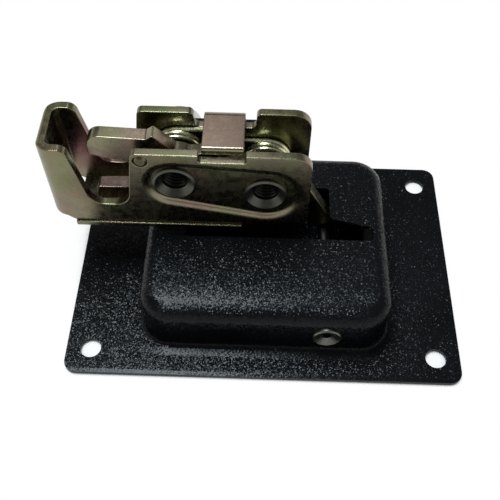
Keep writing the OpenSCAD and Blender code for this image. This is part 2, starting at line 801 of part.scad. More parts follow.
// Spring whose long leg bears under the bridge tab and whose hooked leg turns a claw
module claw_spring(x, z, way, rest_x, hook_drop) {
    turns = 2.25;
    top = z + coil_r;
    bend_z = body_h - plate_t - wire_d / 2 - 0.35;
    lean = (rest_x > x ? -2 : 2) * wire_d;
    side = x + way * coil_r;
    hook_y = coil_far_y - coil_pitch * turns;
    coil = coil_points(x, z, coil_r, 90, -way * turns, coil_far_y, -coil_pitch);
    color(SPRING_STEEL) on_pan() wire(concat(
        [[rest_x, coil_far_y, bend_z], [rest_x + lean, coil_far_y, top]],
        coil,
        [[side, hook_y, z - hook_drop + wire_d * 0.8],
         [side, hook_y - wire_d * 0.25, z - hook_drop + wire_d * 0.2],
         [side, hook_y - wire_d * 0.8, z - hook_drop],
         [side, claw_y + 1, z - hook_drop]]), wire_d / 2);
}

module rotor_spring() {
    claw_spring(rotor_x, rotor_z, -1, tab_left_x + tab_w * 0.32, rotor_hook_drop);
}

module pawl_spring() {
    claw_spring(pawl_x, pawl_z, 1, tab_right_x - tab_w * 0.32, pawl_hook_drop);
}

// Places of the screws through the mounting wall
module screw_places() {
    for (p = [[rotor_x, rotor_z], [pawl_x, pawl_z]])
        translate([p[0], body_w + sheet_t, pan_h + p[1]]) rotate([-90, 0, 0]) children();
}

module mounting_screws() {
    color(ZINC) screw_places() {
        translate([0, 0, -sheet_t - screw_grip]) cylinder(h = sheet_t + screw_grip + washer_t, r = screw_r);
        translate([0, 0, washer_t]) difference() {
            cylinder(h = screw_head_h, r = screw_head_r);
            translate([0, 0, screw_head_h / 3]) cylinder(h = screw_head_h, r = screw_head_r * 0.5, $fn = 6);
        }
    }
}

module lock_washers() {
    color(DARK_STEEL) screw_places() difference() {
        cylinder(h = washer_t, r = washer_r);
        translate([0, 0, -CUT]) cylinder(h = washer_t + 2 * CUT, r = screw_r + pivot_play);
    }
}

pan();
hinge_pin();
hinge_washers();
paddle();
trip_bracket();
trip_rivets();
paddle_spring();
latch_body();
base_plate();
guide_stud();
rotor();
rotor_bushing();
rotor_spacer();
rotor_spring();
pawl();
pawl_bushing();
pawl_spacer();
pawl_spring();
mounting_screws();
lock_washers();
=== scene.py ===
import math

import bmesh
import bpy
from mathutils import Matrix, Vector


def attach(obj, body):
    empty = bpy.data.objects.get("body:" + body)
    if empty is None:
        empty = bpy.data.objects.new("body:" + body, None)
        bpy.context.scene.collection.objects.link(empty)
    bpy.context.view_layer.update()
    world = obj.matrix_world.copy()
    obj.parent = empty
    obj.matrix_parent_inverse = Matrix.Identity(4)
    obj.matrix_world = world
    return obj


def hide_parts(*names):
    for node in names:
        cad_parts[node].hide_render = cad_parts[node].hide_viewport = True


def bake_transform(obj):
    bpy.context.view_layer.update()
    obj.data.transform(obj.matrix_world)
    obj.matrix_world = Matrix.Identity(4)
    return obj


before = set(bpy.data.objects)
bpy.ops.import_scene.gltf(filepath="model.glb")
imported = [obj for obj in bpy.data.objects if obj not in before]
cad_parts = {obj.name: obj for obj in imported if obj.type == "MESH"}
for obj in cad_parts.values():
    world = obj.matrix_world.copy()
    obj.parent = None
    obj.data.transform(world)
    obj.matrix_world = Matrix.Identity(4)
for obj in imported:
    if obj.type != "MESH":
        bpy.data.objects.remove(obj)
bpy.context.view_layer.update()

MM = 0.001

# Easing of cut edges, the turn past which an edge counts as cut, and the turn within which faces shade as one
SHEET_EDGE = 0.22 * MM
PLATE_EDGE = 0.28 * MM
SMALL_EDGE = 0.12 * MM
EASED_STEPS = 2
SHARP_ANGLE = math.radians(32)
FLAT_ANGLE = math.radians(50)
SAME_PLANE = math.radians(0.5)
SAME_POINT = 1e-6

# Rim and floor of the pressed panel, and the box they lie in
PANEL_DEPTH = 1.2 * MM
PANEL_RIM_R = 1.1 * MM
PANEL_FLOOR_R = 0.6 * MM
PANEL_STEPS = 5
PANEL_LEAN_LOW = math.radians(33)
PANEL_LEAN_HIGH = math.radians(65)
PANEL_LEFT, PANEL_RIGHT = -40 * MM, 12 * MM
PANEL_LOW, PANEL_HIGH = 25 * MM, 52 * MM
PANEL_GIVE = 0.02 * MM

# Places on the part
ROTOR_PIVOT = Vector((-28.8, 0, 41.0)) * MM
PAWL_PIVOT = Vector((-0.7, 0, 36.8)) * MM
HINGE = Vector((19.9, 0, 10.0)) * MM
PAN_BACK = 20.0 * MM
SHEET_TOP = 1.2 * MM


def stops_along_y(*stops):
    """Stops of a fall, from Y in millimetres and the lean there."""
    return [(y * MM, lean) for y, lean in stops]


# Where the drawn sheet falls away to the front, and how calm the coat lies where it has pooled
SHEET_LEVEL = 0.8 * MM
ROLL_LEVEL = 1.4 * MM
FALL_LEAN = 0.16
POOLED_CALM = 0.25
TOP_FALL = stops_along_y((-28.6, 0.12), (-27.2, 0.135), (-21.5, 0.0))
ROLL_FALL = stops_along_y((-30.4, 0.0), (-29.4, 0.09), (-28.2, 0.09), (-26.2, 0.0))
ROLL_EASE = stops_along_y((-32.4, 0.42), (-28.6, 0.0))
EDGE_FALL = stops_along_y((-44.4, FALL_LEAN), (-43.4, FALL_LEAN), (-42.8, 0.0))
FOOT_FALL = stops_along_y((-38.2, 0.0), (-37.2, FALL_LEAN), (-36.0, 0.19), (-34.9, 0.24), (-34.5, 0.0))
FLANGE_REACH = (70.0 * MM, 75.0 * MM)
FOOT_REACH = (30.0 * MM, 37.0 * MM)
SPREAD_FALLS = ((PAN_BACK, ROLL_LEVEL, FLANGE_REACH, TOP_FALL),)
EASED_FALLS = ((PAN_BACK, ROLL_LEVEL, FLANGE_REACH, ROLL_EASE),)
POOLED_FALLS = ((SHEET_TOP, SHEET_LEVEL, FLANGE_REACH, EDGE_FALL),
                (SHEET_TOP, SHEET_LEVEL, FOOT_REACH, FOOT_FALL),
                (PAN_BACK, ROLL_LEVEL, FLANGE_REACH, ROLL_FALL))


# Node helpers for the finishes


def new_finish(name):
    """A new material, its node tree and its surface shader."""
    finish = bpy.data.materials.new(name)
    finish.use_nodes = True
    return finish, finish.node_tree, finish.node_tree.nodes["Principled BSDF"]


def object_place(tree, stretch=(1, 1, 1), shift=(0, 0, 0)):
    """Object coordinates, stretched and shifted."""
    place = tree.nodes.new("ShaderNodeTexCoord")
    mapping = tree.nodes.new("ShaderNodeMapping")
    mapping.inputs["Scale"].default_value = stretch
    mapping.inputs["Location"].default_value = shift
    tree.links.new(place.outputs["Object"], mapping.inputs["Vector"])
    return mapping.outputs["Vector"]


def speckle(tree, place, scale, detail=3.0, roughness=0.6):
    """Soft random spots; scale is in spots per metre."""
    noise = tree.nodes.new("ShaderNodeTexNoise")
    noise.inputs["Scale"].default_value = scale
    noise.inputs["Detail"].default_value = detail
    noise.inputs["Roughness"].default_value = roughness
    tree.links.new(place, noise.inputs["Vector"])
    return noise.outputs["Fac"]


def pimples(tree, place, scale, smooth=0.35):
    """Rounded cells, as in orange peel; scale is in cells per metre."""
    cells = tree.nodes.new("ShaderNodeTexVoronoi")
    cells.feature = "SMOOTH_F1"
    cells.inputs["Scale"].default_value = scale
    cells.inputs["Smoothness"].default_value = smooth
    tree.links.new(place, cells.inputs["Vector"])
    return cells.outputs["Distance"]


def ramp(tree, factor, stops):
    """Colours by factor; stops are (position, colour)."""
    node = tree.nodes.new("ShaderNodeValToRGB")
    band = node.color_ramp
    while len(band.elements) < len(stops):
        band.elements.new(0.5)
    for element, (position, colour) in zip(band.elements, stops):
        element.position = position
        element.color = (*colour, 1.0)
    tree.links.new(factor, node.inputs["Fac"])
    return node.outputs["Color"]


def span(tree, factor, low, high, from_low=0.0, from_high=1.0):
    """A value moved from one span to another."""
    node = tree.nodes.new("ShaderNodeMapRange")
    node.inputs["From Min"].default_value = from_low
    node.inputs["From Max"].default_value = from_high
    node.inputs["To Min"].default_value = low
    node.inputs["To Max"].default_value = high
    tree.links.new(factor, node.inputs["Value"])
    return node.outputs["Result"]


def mix_colours(tree, factor, first, second, how="MIX"):
    """Two colours mixed by a factor."""
    node = tree.nodes.new("ShaderNodeMix")
    node.data_type = "RGBA"
    node.blend_type = how
    for socket, value in (("Factor", factor), ("A", first), ("B", second)):
        target = [i for i in node.inputs if i.name == socket and i.enabled][0]
        if isinstance(value, (float, int)):
            target.default_value = value
        elif isinstance(value, tuple):
            target.default_value = (*value, 1.0)
        else:
            tree.links.new(value, target)
    return [o for o in node.outputs if o.enabled][0]


def nearness(tree, place, centre, reach):
    """One near a point, fading to nothing at a reach from it."""
    gap = tree.nodes.new("ShaderNodeVectorMath")
    gap.operation = "DISTANCE"
    gap.inputs[1].default_value = centre
    tree.links.new(place, gap.inputs[0])
    return span(tree, gap.outputs["Value"], 1.0, 0.0, 0.5 * reach, reach)


def facing_up(tree):
    """One on faces that look up, nothing on walls, by the piece's own Z."""
    place = tree.nodes.new("ShaderNodeTexCoord")
    split = tree.nodes.new("ShaderNodeSeparateXYZ")
    tree.links.new(place.outputs["Normal"], split.inputs["Vector"])
    return span(tree, split.outputs["Z"], 0.0, 1.0, LEANING_FACE, LEVEL_FACE)


def relief(tree, shader, height, strength, distance, before=None):
    """Bump on a shader's normal; returns the normal so that bumps can follow each other."""
    bump = tree.nodes.new("ShaderNodeBump")
    bump.inputs["Strength"].default_value = strength
    bump.inputs["Distance"].default_value = distance
    tree.links.new(height, bump.inputs["Height"])
    if before is not None:
        tree.links.new(before, bump.inputs["Normal"])
    tree.links.new(bump.outputs["Normal"], shader.inputs["Normal"])
    return bump.outputs["Normal"]


def reckon(tree, how, *values):
    """Works values together in turn; each is a number or a socket."""
    total = values[0]
    for value in values[1:]:
        node = tree.nodes.new("ShaderNodeMath")
        node.operation = how
        for socket, term in zip(node.inputs, (total, value)):
            if isinstance(term, (float, int)):
                socket.default_value = term
            else:
                tree.links.new(term, socket)
        total = node.outputs["Value"]
    return total


def drawn_falls(tree, place, falls):
    """How far the drawn sheet leans to the front where it falls away.

    Falls are (height, give in height, (full X, last X), [(Y, lean), and so on]).
    """
    split = tree.nodes.new("ShaderNodeSeparateXYZ")
    tree.links.new(place, split.inputs["Vector"])
    wide = reckon(tree, "MAXIMUM", split.outputs["X"], reckon(tree, "MULTIPLY", split.outputs["X"], -1.0))
    found = []
    for height, give, (full_x, last_x), leans in falls:
        first, last = leans[0][0], leans[-1][0]
        stops = [((y - first) / (last - first), (lean, lean, lean)) for y, lean in leans]
        lean = ramp(tree, span(tree, split.outputs["Y"], 0.0, 1.0, first, last), stops)
        level = tree.nodes.new("ShaderNodeMath")
        level.operation = "COMPARE"
        level.inputs[1].default_value = height
        level.inputs[2].default_value = give
        tree.links.new(split.outputs["Z"], level.inputs[0])
        fade = span(tree, wide, 1.0, 0.0, full_x, last_x)
        found.append(reckon(tree, "MULTIPLY", lean, level.outputs["Value"], fade))
    return reckon(tree, "ADD", *found)


def leaned(tree, normal, lean):
    """A normal leaned to the front."""
    forward = tree.nodes.new("ShaderNodeVectorMath")
    forward.operation = "SCALE"
    forward.inputs["Vector"].default_value = (0, -1, 0)
    tree.links.new(lean, forward.inputs["Scale"])
    total = tree.nodes.new("ShaderNodeVectorMath")
    total.operation = "ADD"
    tree.links.new(normal, total.inputs[0])
    tree.links.new(forward.outputs["Vector"], total.inputs[1])
    return total.outputs["Vector"]


def tipped_grains(tree, place, normal, scale, least, most, calm):
    """A normal broken into grains, each tipped its own way; scale is in grains per metre.

    Calm is what the tips are multiplied by, as where the coat has pooled.
    """
    cells = tree.nodes.new("ShaderNodeTexVoronoi")
    cells.inputs["Scale"].default_value = scale
    tree.links.new(place, cells.inputs["Vector"])
    chance = tree.nodes.new("ShaderNodeTexWhiteNoise")
    tree.links.new(cells.outputs["Position"], chance.inputs["Vector"])
    rare = tree.nodes.new("ShaderNodeMath")
    rare.operation = "POWER"
    rare.inputs[1].default_value = FEW_TIPPED_FAR
    tree.links.new(chance.outputs["Value"], rare.inputs[0])
    way = tree.nodes.new("ShaderNodeVectorMath")
    way.operation = "SUBTRACT"
    way.inputs[1].default_value = (0.5, 0.5, 0.5)
    tree.links.new(cells.outputs["Color"], way.inputs[0])
    tip = tree.nodes.new("ShaderNodeVectorMath")
    tip.operation = "SCALE"
    tree.links.new(way.outputs["Vector"], tip.inputs["Vector"])
    amount = reckon(tree, "MULTIPLY", span(tree, rare.outputs["Value"], least, most), calm)
    tree.links.new(amount, tip.inputs["Scale"])
    tipped = tree.nodes.new("ShaderNodeVectorMath")
    tipped.operation = "ADD"
    tree.links.new(normal, tipped.inputs[0])
    tree.links.new(tip.outputs["Vector"], tipped.inputs[1])
    unit = tree.nodes.new("ShaderNodeVectorMath")
    unit.operation = "NORMALIZE"
    tree.links.new(tipped.outputs["Vector"], unit.inputs[0])
    return unit.outputs["Vector"]


# Finishes, with the size of each pattern in spots per metre

COAT_BLACK = ((0.3, (0.0022, 0.0026, 0.0032)), (0.7, (0.0045, 0.0052, 0.0062)))
COAT_MIRROR = 0.12
COAT_CLOUDS = 28
COAT_PEEL = 1100
COAT_GRAINS = 3000
LEAST_TIP, MOST_TIP = 0.22, 0.56
FEW_TIPPED_FAR = 2.0
LEANING_FACE, LEVEL_FACE = 0.5, 0.9

ZINC_DRIFT = 40
ZINC_BANDS = 75
ZINC_STAINS = 420
ZINC_SCRATCHES = 240
OLIVE = ((0.30, (0.18, 0.195, 0.105)), (0.43, (0.235, 0.225, 0.135)), (0.52, (0.25, 0.225, 0.155)),
         (0.60, (0.26, 0.205, 0.16)), (0.72, (0.20, 0.205, 0.125)))
GREEN_TO_PINK = ((0.36, (0.86, 1.0, 0.80)), (0.50, (1.0, 0.98, 0.94)), (0.66, (1.06, 0.86, 0.88)))
GREEN_TO_PINK_SHARE = 0.6
STAIN_GREY = (0.17, 0.16, 0.125)

STEEL_LINES = 1600
STEEL_SPOTS = 180
STEEL_SHADE = 0.72
NYLON_CLOUDS = 300
NYLON_CREAM = ((0.3, (0.62, 0.60, 0.52)), (0.7, (0.72, 0.70, 0.62)))


def powder_coat(name, gloss=0.2):
    """Black powder coat, whose grains glint where they face the light."""
    finish, tree, shader = new_finish(name)
    place = object_place(tree)
    cloud = speckle(tree, place, COAT_CLOUDS)
    tree.links.new(ramp(tree, cloud, COAT_BLACK), shader.inputs["Base Color"])
    tree.links.new(span(tree, cloud, gloss - 0.03, gloss + 0.06, 0.3, 0.7), shader.inputs["Roughness"])
    shader.inputs["Specular IOR Level"].default_value = COAT_MIRROR
    peel = relief(tree, shader, pimples(tree, place, COAT_PEEL), 0.12, -0.4 * MM)
    pooled = drawn_falls(tree, place, POOLED_FALLS)
    spread = drawn_falls(tree, place, SPREAD_FALLS)
    eased = drawn_falls(tree, place, EASED_FALLS)
    drawn = leaned(tree, peel, reckon(tree, "ADD", pooled, reckon(tree, "SUBTRACT", spread, eased)))
    calm = span(tree, pooled, 1.0, POOLED_CALM, 0.0, FALL_LEAN)
    grains = tipped_grains(tree, place, drawn, COAT_GRAINS, LEAST_TIP, MOST_TIP, calm)
    tree.links.new(grains, shader.inputs["Normal"])
    return finish


def yellow_zinc(name, tint=0.84, gloss=0.24, shift=(0, 0, 0), tints_and_painted_light=()):
    """Zinc plate with a yellow passivate: olive gold that drifts to pink and green.

    Tints and painted light are (centre, reach, colour, tops only) of patches mixed into the colour: places
    where the passivate has turned, and painted shade and painted light that stand in for shade and light.
    """
    finish, tree, shader = new_finish(name)
    place = object_place(tree, shift=shift)
    drift = speckle(tree, place, ZINC_DRIFT, 2.0, 0.5)
    bands = speckle(tree, object_place(tree, (1, 1, 1.8), shift), ZINC_BANDS, roughness=0.55)
    stain = speckle(tree, place, ZINC_STAINS)
    base = ramp(tree, drift, [(p, tuple(v * tint for v in c)) for p, c in OLIVE])
    blush = ramp(tree, bands, GREEN_TO_PINK)
    colour = mix_colours(tree, GREEN_TO_PINK_SHARE, base, blush, "MULTIPLY")
    grey = tuple(v * tint for v in STAIN_GREY)
    dulled = mix_colours(tree, span(tree, stain, 0.0, 0.3, 0.5, 0.8), colour, grey)
    # Patches of passivate tint, and of painted shade and painted light, mixed into the colour.
    for centre, reach, tint_and_painted_light_colour, tops_only in tints_and_painted_light:
        share = nearness(tree, object_place(tree), centre, reach)
        if tops_only:
            share = reckon(tree, "MULTIPLY", share, facing_up(tree))
        dulled = mix_colours(tree, share, dulled, tint_and_painted_light_colour)
    tree.links.new(dulled, shader.inputs["Base Color"])
    shader.inputs["Metallic"].default_value = 1.0
    tree.links.new(span(tree, stain, gloss - 0.04, gloss + 0.1, 0.3, 0.7), shader.inputs["Roughness"])
    scratch = speckle(tree, object_place(tree, (1, 1, 14), shift), ZINC_SCRATCHES)
    first = relief(tree, shader, scratch, 0.05, 0.2 * MM)
    relief(tree, shader, stain, 0.06, 0.2 * MM, first)
    return finish


def bright_steel(name, colour, gloss):
    """Plain bright metal with faint drawing marks along Y."""
    finish, tree, shader = new_finish(name)
    lines = speckle(tree, object_place(tree, (1, 0.12, 1)), STEEL_LINES)
    spots = speckle(tree, object_place(tree), STEEL_SPOTS)
    dark = tuple(v * STEEL_SHADE for v in colour)
    tree.links.new(ramp(tree, spots, [(0.3, dark), (0.62, colour)]), shader.inputs["Base Color"])
    shader.inputs["Metallic"].default_value = 1.0
    tree.links.new(span(tree, lines, gloss - 0.07, gloss + 0.1, 0.3, 0.7), shader.inputs["Roughness"])
    relief(tree, shader, lines, 0.1, 0.1 * MM)
    return finish


def moulded_nylon(name):
    """Off-white nylon."""
    finish, tree, shader = new_finish(name)
    cloud = speckle(tree, object_place(tree), NYLON_CLOUDS)
    tree.links.new(ramp(tree, cloud, NYLON_CREAM), shader.inputs["Base Color"])
    tree.links.new(span(tree, cloud, 0.4, 0.55), shader.inputs["Roughness"])
    relief(tree, shader, cloud, 0.1, 0.2 * MM)
    return finish


BLACK_COAT = powder_coat("black_powder_coat")
LIP_BLUSH = (Vector((-13.8, 0.0, 52.0)) * MM, 11 * MM, (0.235, 0.25, 0.14), False)
TAB_BLUSH = (Vector((-13.8, 10.0, 53.0)) * MM, 14 * MM, (0.25, 0.185, 0.145), True)
# Painted shade: a dark patch inside the channel of the body, darkened for the shade there, with the pink of
# the passivate.
WEB_PINK_AND_PAINTED_SHADE = (Vector((-56.0, 13.0, 40.0)) * MM, 16 * MM, (0.15, 0.075, 0.072), False)
# Painted light: a light pink patch on the lower jaw of the rotor, lightened to stand in for light falling on
# it, with the pink of the passivate.
JAW_PINK_AND_PAINTED_LIGHT = (Vector((-48.0, 9.0, 30.0)) * MM, 10 * MM, (0.34, 0.25, 0.20), False)
BODY_ZINC = yellow_zinc("yellow_zinc_body", tints_and_painted_light=(LIP_BLUSH, TAB_BLUSH, WEB_PINK_AND_PAINTED_SHADE))
CLAW_ZINC = yellow_zinc("yellow_zinc_claws", 1.0, 0.22, (0.13, 0.07, 0.02), (JAW_PINK_AND_PAINTED_LIGHT,))
BUSHING_ZINC = bright_steel("dulled_zinc_bushings", (0.09, 0.09, 0.076), 0.32)
# Painted shade: the threads are coloured near black to stand in for the shade inside the bores.
THREAD_PAINTED_SHADE = bright_steel("zinc_threads_painted_shade", (0.018, 0.018, 0.015), 0.3)
PIN_STEEL = bright_steel("bright_zinc", (0.66, 0.66, 0.64), 0.26)
HINGE_STEEL = bright_steel("dulled_zinc_pin", (0.15, 0.15, 0.135), 0.3)
STUD_ZINC = bright_steel("dulled_zinc_stud", (0.15, 0.14, 0.085), 0.3)
SPRING_STEEL = bright_steel("spring_wire", (0.74, 0.72, 0.48), 0.26)
WASHER_NYLON = moulded_nylon("nylon")


# Dressed copies of the solids


def finish_piece(name, mesh, finish, body):
    """Puts a mesh into the scene as a piece on a body."""
    piece = bpy.data.objects.new(name, mesh)
    bpy.context.scene.collection.objects.link(piece)
    mesh.materials.append(finish)
    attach(piece, body)
    return piece


def shade(shape):
    """Smooth faces, with sharp edges kept sharp."""
    for face in shape.faces:
        face.smooth = True
    for edge in shape.edges:
        edge.smooth = len(edge.link_faces) == 2 and edge.calc_face_angle(0.0) < SHARP_ANGLE


def true_flats(mesh):
    """Corner normals weighted by face size, so that a flat stays flat up to its eased edge."""
    faces_at = [[] for vertex in mesh.vertices]
    for face in mesh.polygons:
        for vertex in face.vertices:
            faces_at[vertex].append(face)
    normals = []
    for face in mesh.polygons:
        for vertex in face.vertices:
            near = [f for f in faces_at[vertex] if face.normal.angle(f.normal, 0.0) < FLAT_ANGLE]
            normals.append(sum((f.normal * f.area for f in near), Vector()).normalized())
    mesh.normals_split_custom_set(normals)


def no_soft_edges(shape):
    """Most solids have no rim that is rounder than the rest."""
    return []


def panel_rims(shape):
    """Rim and floor of the pressed panel, which a real press leaves well rounded."""
    found = []
    for depth, round_r in ((0.0, PANEL_RIM_R), (PANEL_DEPTH, PANEL_FLOOR_R)):
        edges = []
        for edge in shape.edges:
            at = [v.co for v in edge.verts]
            level = all(abs(co.y - depth) < PANEL_GIVE for co in at)
            inside = all(PANEL_LEFT < co.x < PANEL_RIGHT and PANEL_LOW < co.z < PANEL_HIGH for co in at)
            if level and inside and len(edge.link_faces) == 2:
                angle = edge.calc_face_angle(0.0)
                if PANEL_LEAN_LOW < angle < PANEL_LEAN_HIGH:
                    edges.append(edge)
        found.append((edges, round_r))
    return found


def ease_edges(node, finish, body, width, soft_edges=no_soft_edges, limited=True):
    """A copy of a solid with its cut edges eased, shown in the solid's place.

    Limited holds the easing back to what the closest edges have room for.
    """
    shape = bmesh.new()
    shape.from_mesh(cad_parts[node].data)
    bmesh.ops.remove_doubles(shape, verts=shape.verts, dist=SAME_POINT)
    bmesh.ops.dissolve_limit(shape, angle_limit=SAME_PLANE, verts=shape.verts, edges=shape.edges)
    for edges, round_r in soft_edges(shape):
        bmesh.ops.bevel(shape, geom=edges, offset=round_r, offset_type="OFFSET", segments=PANEL_STEPS,
                        profile=0.5, affect="EDGES", clamp_overlap=True, material=-1)
    sharp = [e for e in shape.edges if len(e.link_faces) == 2 and e.calc_face_angle(0.0) > SHARP_ANGLE]
    bmesh.ops.bevel(shape, geom=sharp, offset=width, offset_type="OFFSET", segments=EASED_STEPS,
                    profile=0.5, affect="EDGES", clamp_overlap=limited, material=-1)
    shade(shape)
    mesh = bpy.data.meshes.new(node + "_eased")
    shape.to_mesh(mesh)
    shape.free()
    true_flats(mesh)
    piece = finish_piece(node + "_eased", mesh, finish, body)
    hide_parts(node)


ease_edges("pan", BLACK_COAT, "frame", SHEET_EDGE)
ease_edges("paddle", BLACK_COAT, "handle", SHEET_EDGE)
ease_edges("trip_bracket", BLACK_COAT, "handle", SHEET_EDGE)
ease_edges("latch_body", BODY_ZINC, "frame", PLATE_EDGE, panel_rims, limited=False)
ease_edges("base_plate", BODY_ZINC, "frame", PLATE_EDGE)
ease_edges("rotor", CLAW_ZINC, "rotor_body", PLATE_EDGE, limited=False)
ease_edges("pawl", CLAW_ZINC, "pawl_body", PLATE_EDGE, limited=False)
ease_edges("mounting_screws", PIN_STEEL, "frame", PLATE_EDGE)
ease_edges("lock_washers", PIN_STEEL, "frame", SMALL_EDGE)

for node, finish in (("hinge_pin", HINGE_STEEL), ("hinge_washers", WASHER_NYLON),
                     ("trip_rivets", PIN_STEEL), ("guide_stud", STUD_ZINC),
                     ("rotor_bushing", BUSHING_ZINC), ("pawl_bushing", BUSHING_ZINC),
                     ("rotor_spacer", BODY_ZINC), ("pawl_spacer", BODY_ZINC)):
    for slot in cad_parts[node].material_slots:
        slot.material = finish


# Springs, which twist between the fixed end and the moving end

WIRE_ROUNDNESS = 3
TURN_STEPS = 40


def coil_route(pivot, radius, start_angle, turns, start_y, pitch):
    """Points of a coil round Y."""
    steps = int(abs(turns) * TURN_STEPS)
    route = []
    for i in range(steps + 1):
        angle = math.radians(start_angle + 360.0 * turns * i / steps)
        along = start_y + pitch * abs(turns) * i / steps
        x = pivot.x + radius * math.cos(angle)
        z = pivot.z + radius * math.sin(angle)
        route.append(Vector((x, along, z)))
    return route


def wire_piece(name, route, diameter, node):
    """A round wire along a route, shown in place of a spring from the CAD."""
    curve = bpy.data.curves.new(name, "CURVE")
    curve.dimensions = "3D"
    curve.bevel_depth = diameter / 2
    curve.bevel_resolution = WIRE_ROUNDNESS
    curve.use_fill_caps = True
    spline = curve.splines.new("POLY")
    spline.points.add(len(route) - 1)
    for point, place in zip(spline.points, route):
        point.co = (*place, 1.0)
    holder = bpy.data.objects.new(name + "_route", curve)
    mesh = bpy.data.meshes.new_from_object(holder)
    bpy.data.objects.remove(holder)
    shape = bmesh.new()
    shape.from_mesh(mesh)
    bmesh.ops.remove_doubles(shape, verts=shape.verts, dist=SAME_POINT)
    bmesh.ops.recalc_face_normals(shape, faces=shape.faces)
    shade(shape)
    shape.to_mesh(mesh)
    shape.free()
    piece = bpy.data.objects.new(name, mesh)
    bpy.context.scene.collection.objects.link(piece)
    mesh.materials.append(SPRING_STEEL)
    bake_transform(piece)
    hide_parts(node)


def bend(before, corner, after, radius, steps=6):
    """Points that round a corner of a route."""
    u = (before - corner).normalized()
    v = (after - corner).normalized()
    half = u.angle(v) / 2
    reach = radius / math.tan(half)
    centre = corner + (u + v).normalized() * (radius / math.sin(half))
    first = (corner + u * reach - centre).normalized()
    last = (corner + v * reach - centre).normalized()
    return [centre + radius * first.slerp(last, i / steps) for i in range(steps + 1)]


CLAW_WIRE = 1.5 * MM
COIL_R = 7.25 * MM
COIL_PITCH = 1.6 * MM
COIL_TURNS = 2.25
COIL_FAR = 16.75 * MM
CLAW_FRONT = 7.0 * MM
LEG_TOP = PAN_BACK + 30.4 * MM
LEG_LEAN = 3.0 * MM
LEG_BEND = 1.6 * MM
HOOK_BEND = 1.1 * MM
HOOK_REACH = 1.0 * MM


def claw_spring(name, node, pivot, way, rest_x, hook_drop):
    """Spring under the bridge tab that turns the rotor or holds the pawl in."""
    near = COIL_FAR - COIL_PITCH * COIL_TURNS
    side = pivot.x + way * COIL_R
    top = pivot.z + COIL_R
    lean = -LEG_LEAN if rest_x > pivot.x else LEG_LEAN
    leg_end = Vector((rest_x, COIL_FAR, LEG_TOP))
    leg_foot = Vector((rest_x + lean, COIL_FAR, top))
    coil = coil_route(pivot, COIL_R, 90, -way * COIL_TURNS, COIL_FAR, -COIL_PITCH)
    hook_top = Vector((side, near, pivot.z - hook_drop))
    hook_end = Vector((side, CLAW_FRONT + HOOK_REACH, pivot.z - hook_drop))
    route = [leg_end] + bend(leg_end, leg_foot, coil[0], LEG_BEND) + coil
    route += bend(coil[-1], hook_top, hook_end, HOOK_BEND) + [hook_end]
    wire_piece(name, route, CLAW_WIRE, node)


ROTOR_LEG_X, ROTOR_HOOK_DROP = -16.14 * MM, 8.5 * MM
PAWL_LEG_X, PAWL_HOOK_DROP = -11.56 * MM, 5.0 * MM
claw_spring("rotor_spring_wire", "rotor_spring", ROTOR_PIVOT, -1,
            ROTOR_LEG_X, ROTOR_HOOK_DROP)
claw_spring("pawl_spring_wire", "pawl_spring", PAWL_PIVOT, 1,
            PAWL_LEG_X, PAWL_HOOK_DROP)

RETURN_WIRE = 1.2 * MM
RETURN_R = 3.2 * MM
RETURN_PITCH = 1.45 * MM
RETURN_TURNS = 2.5
RETURN_START = -16.0 * MM
RETURN_END = RETURN_START + RETURN_PITCH * RETURN_TURNS
PADDLE_LEG = Vector((HINGE.x + 11 * MM, RETURN_START, 3.75 * MM))
PAN_LEG = Vector((HINGE.x + 10.5 * MM, RETURN_END, 17.85 * MM))
return_coil = coil_route(HINGE, RETURN_R, 270, -RETURN_TURNS, RETURN_START, RETURN_PITCH)
wire_piece("paddle_spring_wire", [PADDLE_LEG] + return_coil + [PAN_LEG], RETURN_WIRE, "paddle_spring")


# Threads in the bushings, cut as a real screw thread

THREAD_PITCH = 1.25 * MM
THREAD_R = 4.0 * MM
THREAD_DEPTH = 0.45 * MM
THREAD_SINK = 0.05 * MM
THREAD_START = 2.6 * MM
THREAD_TURNS = 6
THREAD_STEPS = 32


def bushing_thread(name, pivot):
    """Raised thread inside a bushing's bore."""
    shape = bmesh.new()
    root, crest = THREAD_R + THREAD_SINK, THREAD_R - THREAD_DEPTH
    ridge = [(root, 0.0), (crest, 0.42), (crest, 0.54), (root, 0.96)]
    corners = [shape.verts.new((pivot.x + r, THREAD_START + THREAD_PITCH * y, pivot.z)) for r, y in ridge]
    loop = [shape.edges.new((corners[i], corners[(i + 1) % 4])) for i in range(4)]
    shape.faces.new(corners)
    steps = THREAD_TURNS * THREAD_STEPS
    made = bmesh.ops.spin(shape, geom=loop + corners, cent=pivot, axis=(0, 1, 0),
                          dvec=(0, THREAD_PITCH / THREAD_STEPS, 0), angle=2 * math.pi * THREAD_TURNS,
                          steps=steps, use_merge=False)
    ends = [e for e in made["geom_last"] if isinstance(e, bmesh.types.BMEdge)]
    bmesh.ops.contextual_create(shape, geom=ends)
    bmesh.ops.remove_doubles(shape, verts=shape.verts, dist=SAME_POINT)
    bmesh.ops.recalc_face_normals(shape, faces=shape.faces)
    shade(shape)
    mesh = bpy.data.meshes.new(name)
    shape.to_mesh(mesh)
    shape.free()
    finish_piece(name, mesh, THREAD_PAINTED_SHADE, "frame")


bushing_thread("rotor_bushing_thread", ROTOR_PIVOT)
bushing_thread("pawl_bushing_thread", PAWL_PIVOT)


# Camera, fitted to the flange's straight edges

CAMERA_PLACE = Vector((-2.34, -142.71, 212.34)) * MM
CAMERA_PITCH = 0.961984
CAMERA_ROLL = -0.012885
CAMERA_YAW = 0.020702
FOCAL_PIXELS = 725.81
IMAGE_PIXELS = 500
SENSOR = 36.0

